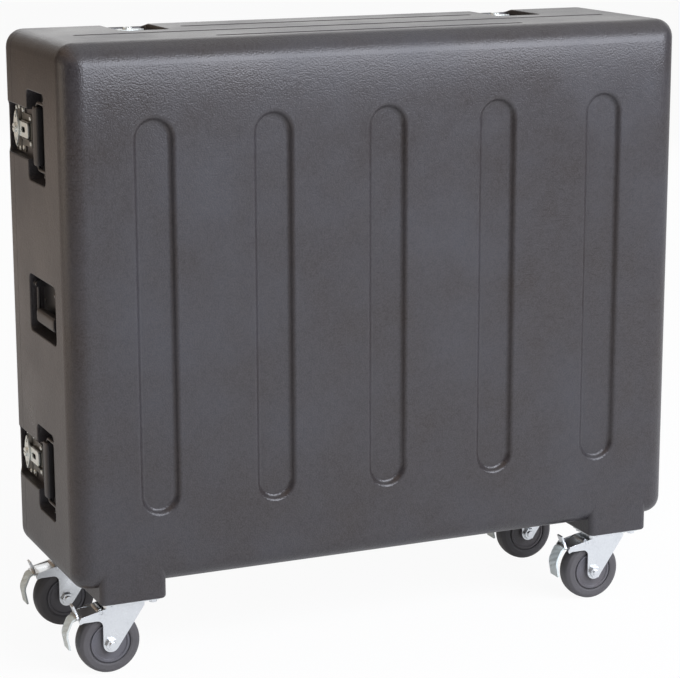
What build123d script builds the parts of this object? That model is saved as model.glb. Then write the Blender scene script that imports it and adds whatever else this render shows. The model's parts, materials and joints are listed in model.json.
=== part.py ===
from build123d import *
import math
import os

os.makedirs("parts", exist_ok=True)

# Moulded mixer case that stands on its long side on four braked swivel casters.
# Millimetres. +Z is up, the large ribbed face looks towards -Y, the lid is at +Y.
# The origin is on the floor, under the middle of the whole object's box.

# Driving dimensions of the case
length = 1056.0
depth = 327.0
body_height = 848.0
body_bottom = 145.0
seam_from_front = 275.0
seam_gap = 0.8
wall = 7.0
corner_radius = 28.0
front_edge_radius = 34.0
back_edge_radius = 30.0
inside_edge_radius = 20.0

# Skid rails along both ends, and the casters under them
rail_bottom = 122.0
rail_width = 109.0
rail_to_lid_gap = 0.6
rail_corner = 10.0
rail_edge_radius = 5.0
rail_centre = 435.0
caster_spacing_y = 238.0
wheel_radius = 50.8
wheel_width = 32.0
caster_trail = 32.0
pedal_reach = 71.114

# The brake pedals reach past the left side, so the case stands a little right of the origin
body_x = (rail_centre + caster_trail + pedal_reach - length / 2) / 2
front_y = -depth / 2
back_y = depth / 2
seam_y = front_y + seam_from_front
body_top = body_bottom + body_height
middle_z = body_bottom + body_height / 2

# Five tall stadium panels pressed into the front face
panel_count = 5
panel_pitch = 193.7
panel_width = 58.8
panel_length = 614.4
panel_depth = 8.5
panel_slope_angle = 35.0
panel_z = 569.8
panel_rim_radius = 7.0
panel_root_radius = 7.0

# Three long grooves in the top face: distance from the front, and length
top_grooves = [(58.0, 530.0), (145.0, 930.0), (232.0, 520.0)]
top_groove_width = 13.0
top_groove_depth = 3.6

# Latch pockets, which cross the seam, and handle pockets
latch_pocket_front = 86.0
latch_pocket_back = 36.5
latch_pocket_width = 80.0
latch_recess = 16.0
handle_pocket_length = 141.0
handle_pocket_width = 92.0
handle_recess = 24.0
pocket_corner = 9.0
pocket_draft = 5.0
pocket_rim_radius = 2.0
top_rim_radius = 1.5
side_fitting_z = 572.0
side_fitting_offset = 267.0
top_latch_x = 332.0
side_handle_from_front = 148.0
middle_handle_from_front = 139.0

# Rim: a tongue on the base enters a groove in the lid, with a gasket in its bottom
tongue_inset = 2.2
tongue_thickness = 2.7
tongue_height = 5.0
rim_play = 0.4
groove_depth = 8.4
gasket_thickness = 2.4
rim_break = 49.0

# Foam
foam_play = 0.8
foam_wall = 44.0
foam_floor = 38.0
foam_corner = 22.0

# Latch: a base plate and a turning butterfly on the lid, a sliding link, a keeper on the base
plate_thickness = 2.0
hub_from_seam = 7.5
hub_post_radius = 5.0
hub_radius = 8.0
hub_top = 13.2
wing_reach = 28.0
wing_width = 25.0
wing_level = 7.0
wing_thickness = 2.6
plate_corner = 4.0
lid_plate_length = 31.0
lid_plate_width = 76.0
lid_plate_middle = 17.0
keeper_head_length = 20.0
keeper_head_width = 74.0
keeper_head_middle = -12.0
keeper_body_length = 46.0
keeper_body_width = 52.0
keeper_body_middle = -36.0
catch_middle = -44.0
catch_length = 4.0
catch_width = 30.0
guide_length = 40.0
guide_thickness = 2.0
guide_play = 1.2
latch_plate_rivets = [(24, 30), (24, -30), (8, 33), (8, -33)]
keeper_rivets = [(-12, 30), (-12, -30), (-52, 20), (-52, -20)]
rivet_radius = 4.0
rivet_shank = 2.4
rivet_head = 1.6
rivet_head_taper = 25.0
hub_taper = 12.0
post_lift = 0.3
wing_hole_radius = 3.0
wing_hole_offset = 18.5
driver_slot_length = 20.0
driver_slot_width = 2.0
link_level = 4.4
link_lip_depth = 1.1
link_lip_length = 3.0
link_lip_width = 18.0
link_lip_inset = 3.0
link_corner = 5.0
link_slot_play = 1.2
link_window_length = 22.0
link_window_width = 9.0
link_window_middle = -24.0
link_thickness = 2.2
link_half_width = 12.0
link_front = 50.0
link_back = 26.0
link_travel = 8.0
catch_clearance = 0.3
running_play = 0.05
grip_play = 0.3

# Handle: a steel bail with a moulded grip, hinged on bracket ears
hinge_offset = 30.0
grip_offset = 18.0
grip_length = 92.0
grip_width = 23.0
grip_thickness = 14.0
bail_rod_radius = 3.0
bail_half_length = 52.0
bail_level = 14.5
bail_eye_radius = 5.0
bail_eye_margin = 0.5
bail_corner = 9.0
grip_corner = 6.0
grip_end_radius = 2.5
ear_thickness = 2.5
ear_width = 12.0
ear_foot_length = 7.0
ear_foot_thickness = 1.6
ear_play = 1.2
pin_end_reach = 1.0
handle_plate_length = 134.0
handle_plate_width = 80.0
handle_plate_corner = 8.0
handle_rivets = [(58, 26), (-58, 26), (58, -2), (-58, -2)]

# Caster
top_plate_x = 95.0
top_plate_y = 66.0
top_plate_thickness = 4.0
top_plate_corner = 7.0
screw_pitch_x = 75.0
screw_pitch_y = 46.0
screw_radius = 4.0
screw_head_radius = 6.8
screw_head_height = 5.2
insert_radius = 6.5
insert_top = 141.0
race_radius = 30.0
race_bottom = 114.5
race_taper = 20.0
crown_top = 114.0
crown_thickness = 4.0
kingpin_radius = 6.0
kingpin_head_radius = 10.0
kingpin_head_thickness = 3.0
kingpin_play = 0.4
crown_length = 50.0
crown_offset = -1.0
crown_back = 56.0
crown_foot_z = 58.0
fork_inside = 18.5
fork_plate = 3.0
axle_radius = 6.0
axle_nut_across = 18.0
axle_nut_height = 6.0
axle_end_radius = 5.5
axle_end_length = 3.0
hub_wheel_radius = 34.0
tread_bevel = 3.0
ring_groove_width = 2.4
ring_groove_depth = 3.0
hub_boss_radius = 11.0
hub_boss_play = 0.5
hub_face_inset = 0.5
hub_face_dish = 1.0
tyre_step = 3.0
fork_foot_radius = 13.0
fork_foot_angle = -34.0
fork_front_top = 31.0
fork_shoulder = [(6, 63.2), (-2, 60.6), (-48, 50), (-52, 44), (-50, 39), (-44, 41), (-23, 41)]
fork_front_arc = 10.0
pedal_pivot_x = -16.0
pedal_pivot_z = 54.0
pedal_pin_radius = 3.0
pedal_half_width = 17.4
pad_half_width = 13.0
pedal_sheet = 3.0
pedal_eye_radius = 5.2
pedal_arm = [(-44, 49), (-54, 46)]
pedal_pad = [(-52, 46.5), (-60, 44), (-70, 22), (-65, -4)]
pedal_pad_bend = 9.0
pedal_tang = [(-50, 47.5), (-53, 56), (-57, 66)]
pedal_tang_half_width = 8.0


# Places. Each plane has its origin on the outer surface and its normal outwards.
def latch_place(origin, outwards):
    return Plane(origin=origin, x_dir=(0, 1, 0), z_dir=outwards)


side_x = length / 2
latch_places = {
    "top_left": latch_place((body_x - top_latch_x, seam_y, body_top), (0, 0, 1)),
    "top_right": latch_place((body_x + top_latch_x, seam_y, body_top), (0, 0, 1)),
}
handle_places = {}
for side, sign in (("left", -1), ("right", 1)):
    for level, offset_z in (("upper", side_fitting_offset), ("lower", -side_fitting_offset)):
        name = f"{side}_{level}"
        z = side_fitting_z + offset_z
        latch_places[name] = latch_place((body_x + sign * side_x, seam_y, z), (sign, 0, 0))
        handle_places[name] = Plane(
            origin=(body_x + sign * side_x, front_y + side_handle_from_front, z),
            x_dir=(0, 0, -sign),
            z_dir=(sign, 0, 0),
        )
    handle_places[f"{side}_middle"] = Plane(
        origin=(body_x + sign * side_x, front_y + middle_handle_from_front, side_fitting_z),
        x_dir=(0, -sign, 0),
        z_dir=(sign, 0, 0),
    )

caster_places = {
    "front_left": (body_x - rail_centre, -caster_spacing_y / 2),
    "front_right": (body_x + rail_centre, -caster_spacing_y / 2),
    "rear_left": (body_x - rail_centre, caster_spacing_y / 2),
    "rear_right": (body_x + rail_centre, caster_spacing_y / 2),
}


def save(piece, name):
    piece.label = name
    export_step(piece, f"parts/{name}.step")


# Rounded block that is open at one Y level and has rounded edges at the other
def block(open_y, closed_y, inset, corner, edge):
    way = 1 if closed_y > open_y else -1
    opening = Plane(origin=(body_x, open_y, middle_z), x_dir=(1, 0, 0), z_dir=(0, way, 0))
    with BuildPart() as shape:
        with BuildSketch(opening):
            RectangleRounded(length - 2 * inset, body_height - 2 * inset, corner)
        extrude(amount=abs(closed_y - open_y))
        end = shape.faces().sort_by(Axis.Y)[0 if way < 0 else -1]
        fillet(end.edges(), edge)
    return shape.part


def handle_pocket(place, grow):
    with BuildPart() as shape:
        with BuildSketch(place.offset(1 + grow)):
            RectangleRounded(
                handle_pocket_length + 2 * grow,
                handle_pocket_width + 2 * grow,
                pocket_corner + grow,
            )
        extrude(amount=-(handle_recess + 2 * grow + 1), taper=pocket_draft)
    return shape.part


def latch_pocket(place, grow):
    reach = latch_pocket_front + latch_pocket_back + 2 * grow
    with BuildPart() as shape:
        with BuildSketch(place.offset(-latch_recess - grow)):
            with Locations(((latch_pocket_back - latch_pocket_front) / 2, 0)):
                RectangleRounded(reach, latch_pocket_width + 2 * grow, pocket_corner + grow)
        extrude(amount=latch_recess + 2 * grow + 1)
    return shape.part


def stadium_panels(base_plane, size, grow, amount, taper):
    with BuildPart() as shape:
        with BuildSketch(base_plane):
            with GridLocations(panel_pitch, 0, panel_count, 1):
                SlotOverall(size + 2 * grow, panel_width + 2 * grow, rotation=90)
        extrude(amount=amount, taper=taper)
    return shape.part


# Edges round the mouths of the pockets and grooves in the flat outer faces that look along an axis.
# The faces' own border edges are left out.
def mouth_edges(shell, axis, middle, half_size, half_flat, low_y, high_y):
    def coordinate(point, wanted):
        return point.X if wanted == Axis.X else point.Z

    across = Axis.Z if axis == Axis.X else Axis.X
    found = []
    for face in shell.faces().filter_by(axis):
        if abs(abs(coordinate(face.center(), axis) - middle[0]) - half_size) > 0.1:
            continue
        for edge in face.edges():
            point = edge.center()
            at_end = abs(abs(coordinate(point, across) - middle[1]) - half_flat) < 1
            if low_y + 1 < point.Y < high_y - 0.5 and not at_end:
                found.append(edge)
    return found


# A ring that follows the rim, broken at each latch pocket
def rim_ring(y_low, y_high, inset, thickness, break_half):
    start = Plane(origin=(body_x, y_low, middle_z), x_dir=(1, 0, 0), z_dir=(0, 1, 0))
    with BuildPart() as shape:
        with BuildSketch(start):
            RectangleRounded(
                length - 2 * inset, body_height - 2 * inset, corner_radius - inset
            )
            inner = inset + thickness
            RectangleRounded(
                length - 2 * inner,
                body_height - 2 * inner,
                corner_radius - inner,
                mode=Mode.SUBTRACT,
            )
        extrude(amount=y_high - y_low)
        for place in latch_places.values():
            with BuildSketch(place.offset(-latch_recess - wall)):
                Rectangle(4 * groove_depth, 2 * break_half)
            extrude(amount=latch_recess + wall + 1, mode=Mode.SUBTRACT)
    return shape.part


# Base: the deep front shell with its rails, pockets and pressed panels
front_face = Plane(origin=(body_x, front_y, panel_z), x_dir=(1, 0, 0), z_dir=(0, -1, 0))
cavity_front = front_y + wall
slope = math.radians(panel_slope_angle)
mouth_grow = panel_depth * math.tan(slope) / 2
inner_grow = mouth_grow + wall * (1 / math.cos(slope) - math.tan(slope))
side_faces = (Axis.X, (body_x, middle_z), length / 2, body_height / 2 - corner_radius)
top_face = (Axis.Z, (middle_z, body_x), body_height / 2, length / 2 - corner_radius)
with BuildPart() as base_cavity:
    add(block(seam_y, cavity_front, wall, corner_radius - wall, inside_edge_radius))
    add(
        stadium_panels(
            Plane(origin=(body_x, cavity_front, panel_z), x_dir=(1, 0, 0), z_dir=(0, 1, 0)),
            panel_length, inner_grow, panel_depth, panel_slope_angle,
        ),
        mode=Mode.SUBTRACT,
    )
    for place in handle_places.values():
        add(handle_pocket(place, wall), mode=Mode.SUBTRACT)
    for place in latch_places.values():
        add(latch_pocket(place, wall), mode=Mode.SUBTRACT)

with BuildPart() as base_shell:
    add(block(seam_y, front_y, 0, corner_radius, front_edge_radius))
    add(
        stadium_panels(front_face, panel_length, mouth_grow, -panel_depth, panel_slope_angle),
        mode=Mode.SUBTRACT,
    )
    ribbed_face = base_shell.faces().filter_by(Axis.Y).sort_by(Axis.Y)[0]
    fillet(ribbed_face.inner_wires().edges(), panel_rim_radius)
    panel_floors = base_shell.faces().filter_by(Axis.Y).sort_by(Axis.Y)[1:panel_count + 1]
    fillet(panel_floors.edges(), panel_root_radius)
    for sign in (-1, 1):
        rail_x = body_x + sign * rail_centre
        rail_top = body_bottom - rail_to_lid_gap
        with BuildSketch(Plane(origin=(rail_x, 0, rail_bottom))):
            RectangleRounded(rail_width, depth, rail_corner)
        extrude(amount=rail_top - rail_bottom)
        with BuildSketch(Plane(origin=(rail_x, front_y + seam_from_front / 2, rail_bottom))):
            RectangleRounded(rail_width, seam_from_front, rail_corner)
        extrude(amount=body_bottom + front_edge_radius - rail_bottom)
    rail_soles = base_shell.faces().sort_by(Axis.Z)[0:2]
    fillet(rail_soles.edges().filter_by(Axis.X), rail_edge_radius)
    add(base_cavity.part, mode=Mode.SUBTRACT)
    add(
        rim_ring(seam_y, seam_y + tongue_height, tongue_inset, tongue_thickness, rim_break),
    )
    for place in handle_places.values():
        add(handle_pocket(place, 0), mode=Mode.SUBTRACT)
    for place in latch_places.values():
        add(latch_pocket(place, 0), mode=Mode.SUBTRACT)
    for from_front, groove_length in top_grooves:
        with BuildSketch(Plane(origin=(body_x, front_y + from_front, body_top))):
            SlotOverall(groove_length, top_groove_width)
        extrude(amount=-top_groove_depth, taper=panel_slope_angle, mode=Mode.SUBTRACT)
    for place_x, place_y in caster_places.values():
        with BuildSketch(Plane(origin=(place_x, place_y, rail_bottom))):
            with GridLocations(screw_pitch_x, screw_pitch_y, 2, 2):
                Circle(insert_radius)
        extrude(amount=insert_top - rail_bottom, mode=Mode.SUBTRACT)
    base_flat = (front_y + front_edge_radius, seam_y)
    fillet(mouth_edges(base_shell, *side_faces, *base_flat), pocket_rim_radius)
    top_mouths = mouth_edges(base_shell, *top_face, *base_flat)
    fillet([edge for edge in top_mouths if edge.center().Z > middle_z], top_rim_radius)
save(base_shell.part, "base_shell")

# Lid: the shallow back shell
lid_rim = seam_y + seam_gap
with BuildPart() as lid_cavity:
    add(block(lid_rim, back_y - wall, wall, corner_radius - wall, inside_edge_radius))
    for place in latch_places.values():
        add(latch_pocket(place, wall), mode=Mode.SUBTRACT)

with BuildPart() as lid_shell:
    add(block(lid_rim, back_y, 0, corner_radius, back_edge_radius))
    add(lid_cavity.part, mode=Mode.SUBTRACT)
    for place in latch_places.values():
        add(latch_pocket(place, 0), mode=Mode.SUBTRACT)
    add(
        rim_ring(
            lid_rim, lid_rim + groove_depth, tongue_inset - rim_play,
            tongue_thickness + 2 * rim_play, rim_break - 1,
        ),
        mode=Mode.SUBTRACT,
    )
    lid_flat = (lid_rim - 1, back_y - back_edge_radius)
    fillet(mouth_edges(lid_shell, *side_faces, *lid_flat), pocket_rim_radius)
    top_mouths = mouth_edges(lid_shell, *top_face, *lid_flat)
    fillet([edge for edge in top_mouths if edge.center().Z > middle_z], top_rim_radius)
save(lid_shell.part, "lid_shell")

rim_gasket = rim_ring(
    lid_rim + groove_depth - gasket_thickness, lid_rim + groove_depth,
    tongue_inset - rim_play / 2, tongue_thickness + rim_play, rim_break,
)
save(rim_gasket, "rim_gasket")

# Foam tray in the base, and the pad in the lid
foam_side = side_x - handle_recess - 2 * wall - foam_play
foam_top = body_top - latch_recess - 2 * wall - foam_play
foam_bottom = body_bottom + wall + foam_play
foam_front = front_y + wall + panel_depth + foam_play
foam_height = foam_top - foam_bottom
foam_z = (foam_top + foam_bottom) / 2
with BuildPart() as foam_tray:
    with BuildSketch(
        Plane(origin=(body_x, seam_y - foam_play, foam_z), x_dir=(1, 0, 0), z_dir=(0, -1, 0))
    ):
        RectangleRounded(2 * foam_side, foam_height, foam_corner)
    extrude(amount=seam_y - foam_play - foam_front)
    fillet(foam_tray.faces().sort_by(Axis.Y)[0].edges(), inside_edge_radius + 1)
    with BuildSketch(
        Plane(origin=(body_x, seam_y - foam_play, foam_z), x_dir=(1, 0, 0), z_dir=(0, -1, 0))
    ):
        RectangleRounded(2 * foam_side - 2 * foam_wall, foam_height - 2 * foam_wall, foam_corner)
    extrude(amount=seam_y - foam_play - foam_front - foam_floor, mode=Mode.SUBTRACT)
save(foam_tray.part, "foam_tray")

with BuildPart() as foam_lid_pad:
    with BuildSketch(
        Plane(origin=(body_x, lid_rim + foam_play, foam_z), x_dir=(1, 0, 0), z_dir=(0, 1, 0))
    ):
        RectangleRounded(2 * foam_side, foam_height, foam_corner)
    extrude(amount=back_y - wall - foam_play - lid_rim - foam_play)
    fillet(foam_lid_pad.faces().sort_by(Axis.Y)[-1].edges(), inside_edge_radius + 1)
save(foam_lid_pad.part, "foam_lid_pad")


# Latches. Local x runs towards the lid from the seam, local y along the seam, local z outwards.
def latch_floor(place):
    return place.offset(-latch_recess)


def plate_rivet_group(places, points, name):
    with BuildPart() as group:
        for floor in places:
            with BuildSketch(floor):
                with Locations(*points):
                    Circle(rivet_shank)
            extrude(amount=plate_thickness)
            with BuildSketch(floor.offset(plate_thickness)):
                with Locations(*points):
                    Circle(rivet_radius)
            extrude(amount=rivet_head, taper=rivet_head_taper)
    save(group.part, name)


latch_floors = [latch_floor(place) for place in latch_places.values()]
with BuildPart() as latch_plates:
    for floor in latch_floors:
        with BuildSketch(floor):
            with Locations((lid_plate_middle, 0)):
                RectangleRounded(lid_plate_length, lid_plate_width, plate_corner)
            with Locations((hub_from_seam, 0)):
                Circle(hub_post_radius + running_play, mode=Mode.SUBTRACT)
            with Locations(*latch_plate_rivets):
                Circle(rivet_shank, mode=Mode.SUBTRACT)
        extrude(amount=plate_thickness)
save(latch_plates.part, "latch_plates")
plate_rivet_group(latch_floors, latch_plate_rivets, "latch_rivets")

# Keeper plates stand on the base in front of the seam. Their ears carry the rivets.
with BuildPart() as keeper_plates:
    for floor in latch_floors:
        with BuildSketch(floor):
            with Locations((keeper_head_middle, 0)):
                RectangleRounded(keeper_head_length, keeper_head_width, plate_corner)
            with Locations((keeper_body_middle, 0)):
                RectangleRounded(keeper_body_length, keeper_body_width, plate_corner)
            with Locations(*keeper_rivets):
                Circle(rivet_shank, mode=Mode.SUBTRACT)
        extrude(amount=plate_thickness)
        with BuildSketch(floor.offset(plate_thickness)):
            with Locations((catch_middle, 0)):
                Rectangle(catch_length, catch_width)
        extrude(amount=link_level - link_lip_depth - catch_clearance - plate_thickness)
        for lateral in (-1, 1):
            with BuildSketch(floor.offset(plate_thickness)):
                guide_y = lateral * (link_half_width + guide_play + guide_thickness / 2)
                with Locations((keeper_body_middle, guide_y)):
                    Rectangle(guide_length, guide_thickness)
            extrude(amount=link_level + link_thickness - plate_thickness)
save(keeper_plates.part, "keeper_plates")
plate_rivet_group(latch_floors, keeper_rivets, "keeper_rivets")

for name, place in latch_places.items():
    floor = latch_floor(place)
    # Sliding link with a slot for the hub post and a lip over the catch
    with BuildPart() as link:
        with BuildSketch(floor.offset(link_level)):
            with Locations(((link_back - link_front) / 2, 0)):
                RectangleRounded(link_front + link_back, 2 * link_half_width, link_corner)
            with Locations((hub_from_seam + link_travel / 2, 0)):
                SlotOverall(
                    2 * (hub_post_radius + link_slot_play) + link_travel,
                    2 * hub_post_radius + link_slot_play,
                    mode=Mode.SUBTRACT,
                )
            with Locations((link_window_middle, 0)):
                SlotOverall(link_window_length, link_window_width, mode=Mode.SUBTRACT)
        extrude(amount=link_thickness)
        with BuildSketch(floor.offset(link_level)):
            with Locations((link_lip_inset - link_front, 0)):
                Rectangle(link_lip_length, link_lip_width)
        extrude(amount=-link_lip_depth)
    save(link.part, f"latch_link_{name}")

    # Butterfly: two pointed wings on a hub and its post
    with BuildPart() as butterfly:
        with BuildSketch(floor.offset(post_lift)):
            with Locations((hub_from_seam, 0)):
                Circle(hub_post_radius)
        extrude(amount=wing_level + wing_thickness - post_lift)
        with BuildSketch(floor.offset(wing_level)):
            with BuildLine():
                tip_a = (hub_from_seam, wing_reach)
                tip_b = (hub_from_seam, -wing_reach)
                ThreePointArc(tip_a, (hub_from_seam + wing_width / 2, 0), tip_b)
                ThreePointArc(tip_b, (hub_from_seam - wing_width / 2, 0), tip_a)
            make_face()
            with Locations((hub_from_seam, wing_hole_offset), (hub_from_seam, -wing_hole_offset)):
                Circle(wing_hole_radius, mode=Mode.SUBTRACT)
        extrude(amount=wing_thickness)
        with BuildSketch(floor.offset(wing_level + wing_thickness)):
            with Locations((hub_from_seam, 0)):
                Circle(hub_radius)
        extrude(amount=hub_top - wing_level - wing_thickness, taper=hub_taper)
        with BuildSketch(floor.offset(hub_top - driver_slot_width)):
            with Locations((hub_from_seam, 0)):
                Rectangle(driver_slot_length, driver_slot_width)
        extrude(amount=driver_slot_width, mode=Mode.SUBTRACT)
    save(butterfly.part, f"latch_butterfly_{name}")

# Handles. Local x is the hinge's direction, local y runs from hinge to grip, local z outwards.
handle_floors = {name: place.offset(-handle_recess) for name, place in handle_places.items()}
ear_inside = bail_half_length + bail_rod_radius + ear_play
with BuildPart() as handle_plates:
    for floor in handle_floors.values():
        with BuildSketch(floor):
            RectangleRounded(handle_plate_length, handle_plate_width, handle_plate_corner)
            with Locations(*handle_rivets):
                Circle(rivet_shank, mode=Mode.SUBTRACT)
        extrude(amount=plate_thickness)
save(handle_plates.part, "handle_plates")

# Bracket ears stand on the plates and carry the hinge pins
with BuildPart() as handle_brackets:
    for floor in handle_floors.values():
        for sign in (-1, 1):
            ear_x = sign * (ear_inside + ear_thickness / 2)
            ear = Plane(
                origin=floor.from_local_coords((ear_x, 0, 0)),
                x_dir=floor.y_dir,
                z_dir=floor.x_dir,
            )
            with BuildSketch(ear):
                with Locations((-hinge_offset, (bail_level + plate_thickness) / 2)):
                    Rectangle(ear_width, bail_level - plate_thickness)
                with Locations((-hinge_offset, bail_level)):
                    Circle(ear_width / 2)
                with Locations((-hinge_offset, bail_level)):
                    Circle(bail_rod_radius + running_play, mode=Mode.SUBTRACT)
            extrude(amount=ear_thickness / 2, both=True)
            with BuildSketch(floor.offset(plate_thickness)):
                with Locations((ear_x + sign * ear_foot_length / 2, -hinge_offset)):
                    Rectangle(ear_foot_length + ear_thickness, ear_width)
            extrude(amount=ear_foot_thickness)
save(handle_brackets.part, "handle_brackets")
plate_rivet_group(handle_floors.values(), handle_rivets, "handle_rivets")

for name, floor in handle_floors.items():
    # Bail: two arms and the rod through the grip, with an eye and a pin at each arm's end
    bail_plane = floor.offset(bail_level)
    with BuildPart() as bail:
        with BuildLine(bail_plane) as bail_path:
            FilletPolyline(
                (bail_half_length, -hinge_offset),
                (bail_half_length, grip_offset),
                (-bail_half_length, grip_offset),
                (-bail_half_length, -hinge_offset),
                radius=bail_corner,
            )
        with BuildSketch(Plane(origin=bail_path.line @ 0, z_dir=bail_path.line % 0)):
            Circle(bail_rod_radius)
        sweep()
        eye_start = bail_half_length - bail_rod_radius - bail_eye_margin
        eye_end = bail_half_length + bail_rod_radius + bail_eye_margin
        pin_end = ear_inside + ear_thickness + pin_end_reach
        for sign in (-1, 1):
            eye = Plane(
                origin=bail_plane.from_local_coords((sign * eye_start, -hinge_offset, 0)),
                z_dir=floor.x_dir * sign,
            )
            with BuildSketch(eye):
                Circle(bail_eye_radius)
            extrude(amount=eye_end - eye_start)
            with BuildSketch(eye.offset(eye_end - eye_start)):
                Circle(bail_rod_radius)
            extrude(amount=pin_end - eye_end)
    save(bail.part, f"handle_bail_{name}")

    # Grip moulded round the rod
    with BuildPart() as grip:
        grip_end = floor.from_local_coords((-grip_length / 2, grip_offset, bail_level))
        with BuildSketch(Plane(origin=grip_end, x_dir=floor.y_dir, z_dir=floor.x_dir)):
            RectangleRounded(grip_width, grip_thickness, grip_corner)
        extrude(amount=grip_length)
        fillet(grip.edges().group_by(Axis(floor.origin, floor.x_dir))[0], grip_end_radius)
        fillet(grip.edges().group_by(Axis(floor.origin, floor.x_dir))[-1], grip_end_radius)
        with BuildSketch(Plane(origin=grip_end, x_dir=floor.y_dir, z_dir=floor.x_dir)):
            Circle(bail_rod_radius + grip_play)
        extrude(amount=grip_length, mode=Mode.SUBTRACT)
    save(grip.part, f"handle_grip_{name}")

# Caster parts that are fixed to the case
with BuildPart() as caster_plates:
    for place_x, place_y in caster_places.values():
        plate_bottom = rail_bottom - top_plate_thickness
        with BuildSketch(Plane(origin=(place_x, place_y, plate_bottom))):
            RectangleRounded(top_plate_x, top_plate_y, top_plate_corner)
            with GridLocations(screw_pitch_x, screw_pitch_y, 2, 2):
                Circle(screw_radius + running_play, mode=Mode.SUBTRACT)
        extrude(amount=top_plate_thickness)
        with BuildSketch(Plane(origin=(place_x, place_y, race_bottom))):
            Circle(race_radius)
        extrude(amount=plate_bottom - race_bottom, taper=-race_taper)
        head_z = crown_top - crown_thickness - kingpin_play
        with BuildSketch(Plane(origin=(place_x, place_y, head_z))):
            Circle(kingpin_radius)
        extrude(amount=race_bottom - head_z)
        with BuildSketch(Plane(origin=(place_x, place_y, head_z))):
            Circle(kingpin_head_radius)
        extrude(amount=-kingpin_head_thickness, taper=race_taper)
save(caster_plates.part, "caster_plates")

with BuildPart() as caster_screws:
    for place_x, place_y in caster_places.values():
        head_top = rail_bottom - top_plate_thickness
        with BuildSketch(Plane(origin=(place_x, place_y, head_top - screw_head_height))):
            with GridLocations(screw_pitch_x, screw_pitch_y, 2, 2):
                RegularPolygon(screw_head_radius, 6)
        extrude(amount=screw_head_height)
        with BuildSketch(Plane(origin=(place_x, place_y, head_top))):
            with GridLocations(screw_pitch_x, screw_pitch_y, 2, 2):
                Circle(screw_radius)
        extrude(amount=insert_top - head_top)
save(caster_screws.part, "caster_screws")

with BuildPart() as threaded_inserts:
    for place_x, place_y in caster_places.values():
        with BuildSketch(Plane(origin=(place_x, place_y, rail_bottom))):
            with GridLocations(screw_pitch_x, screw_pitch_y, 2, 2):
                Circle(insert_radius)
                Circle(screw_radius, mode=Mode.SUBTRACT)
        extrude(amount=insert_top - rail_bottom)
save(threaded_inserts.part, "threaded_inserts")

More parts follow.
